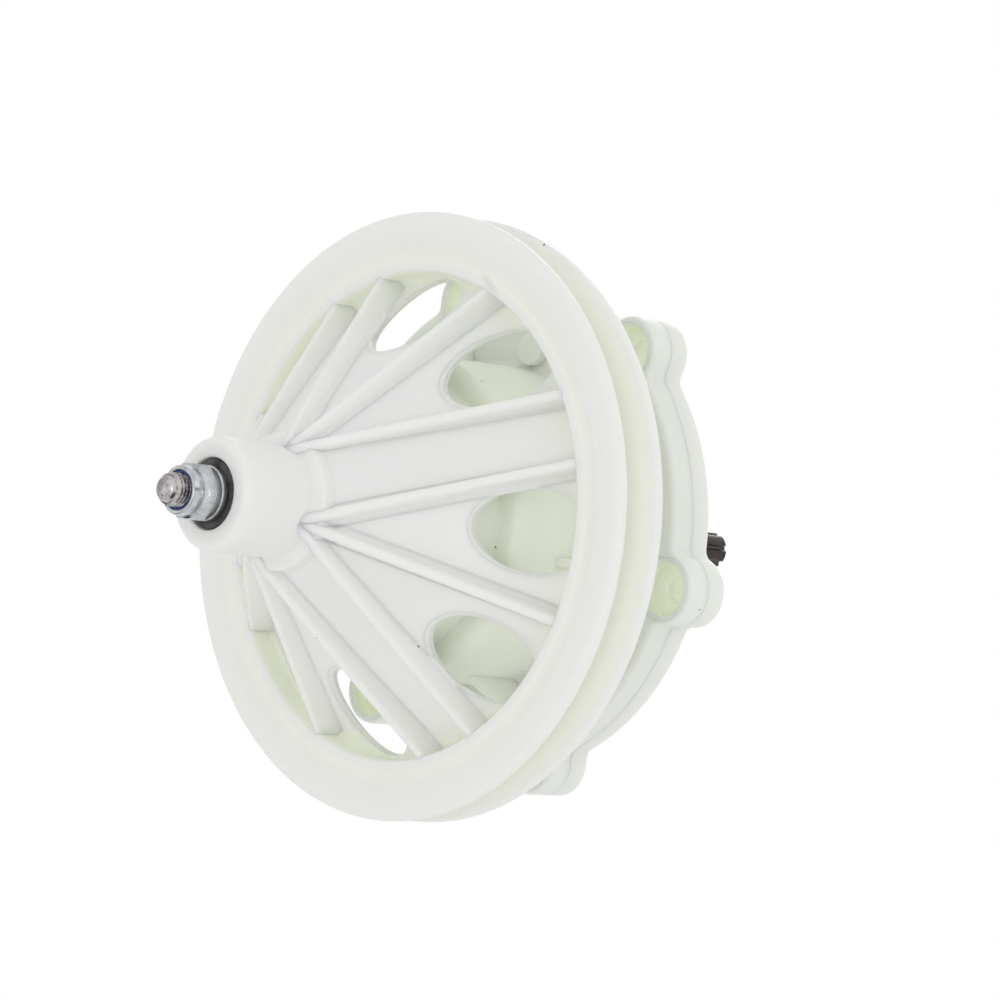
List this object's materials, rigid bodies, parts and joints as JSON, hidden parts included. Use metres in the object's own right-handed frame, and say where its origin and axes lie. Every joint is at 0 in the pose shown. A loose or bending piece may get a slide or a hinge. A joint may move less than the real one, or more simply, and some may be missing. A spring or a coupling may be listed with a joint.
{
  "type": "washing machine gearbox",
  "caption": "Belt-driven planetary speed reducer with a ribbed conical pulley, a moulded two-part case with mounting ears and a splined output shaft.",
  "frame": {"origin": "centre of the mounting face, on the shaft axis", "axes": "+Z along the shaft axis, from the pulley towards the output shaft; +X through one of the six mounting ears"},
  "size_m": [0.184, 0.184, 0.2369],
  "materials": {
    "pulley_plastic": "moulded, satin",
    "case_plastic": "moulded, satin",
    "seal_rubber": "matt",
    "zinc_steel": "zinc plated",
    "dark_steel": "blackened",
    "shaft_steel": "oiled, dark",
    "ring_nylon": "moulded",
    "gear_nylon": "moulded, greased",
    "gear_steel": "sintered",
    "bearing_bronze": "oil filled sinter"
  },
  "bodies": {
    "case": {"front_case": "case_plastic", "rear_case": "case_plastic", "case_seal_ring": "seal_rubber", "case_screws": "zinc_steel", "ring_gear": "gear_nylon", "input_bush_front": "bearing_bronze", "input_bush_rear": "bearing_bronze", "input_seal": "seal_rubber", "output_bush_lower": "bearing_bronze", "output_bush_upper": "bearing_bronze", "output_seal": "seal_rubber"},
    "input": {"belt_pulley": "pulley_plastic", "input_shaft": "shaft_steel", "spring_washer": "zinc_steel", "flat_washer": "dark_steel", "lock_nut": "zinc_steel", "nylon_insert": "ring_nylon", "input_circlip": "dark_steel", "sun_gear": "gear_steel", "sun_circlip": "dark_steel", "sun_thrust_washer": "bearing_bronze"},
    "output": {"output_shaft": "shaft_steel", "planet_carrier": "gear_steel", "carrier_cover": "gear_steel", "carrier_screws": "zinc_steel", "planet_pins": "gear_steel", "planet_thrust_washers": "bearing_bronze", "carrier_circlip": "dark_steel", "output_thrust_washer": "bearing_bronze", "output_circlip": "dark_steel"},
    "planet_1": {"planet_gear_1": "gear_nylon", "planet_bush_1": "bearing_bronze"},
    "planet_2": {"planet_gear_2": "gear_nylon", "planet_bush_2": "bearing_bronze"},
    "planet_3": {"planet_gear_3": "gear_nylon", "planet_bush_3": "bearing_bronze"},
    "planet_4": {"planet_gear_4": "gear_nylon", "planet_bush_4": "bearing_bronze"}
  },
  "joints": [
    {"name": "pulley_spin", "type": "hinge", "parent": "case", "child": "input", "pos_m": [0, 0, 0], "axis": [0, 0, 1], "continuous": true},
    {"name": "output_spin", "type": "hinge", "parent": "case", "child": "output", "pos_m": [0, 0, 0], "axis": [0, 0, 1], "continuous": true},
    {"name": "planet_1_spin", "type": "hinge", "parent": "output", "child": "planet_1", "pos_m": [0.02375, 0, 0], "axis": [0, 0, 1], "continuous": true},
    {"name": "planet_2_spin", "type": "hinge", "parent": "output", "child": "planet_2", "pos_m": [0, 0.02375, 0], "axis": [0, 0, 1], "continuous": true},
    {"name": "planet_3_spin", "type": "hinge", "parent": "output", "child": "planet_3", "pos_m": [-0.02375, 0, 0], "axis": [0, 0, 1], "continuous": true},
    {"name": "planet_4_spin", "type": "hinge", "parent": "output", "child": "planet_4", "pos_m": [0, -0.02375, 0], "axis": [0, 0, 1], "continuous": true}
  ],
  "couplings": [
    {"joint": "output_spin", "follows": "pulley_spin", "ratio": 0.21053},
    {"joint": "planet_1_spin", "follows": "pulley_spin", "ratio": -0.57416},
    {"joint": "planet_2_spin", "follows": "pulley_spin", "ratio": -0.57416},
    {"joint": "planet_3_spin", "follows": "pulley_spin", "ratio": -0.57416},
    {"joint": "planet_4_spin", "follows": "pulley_spin", "ratio": -0.57416}
  ]
}
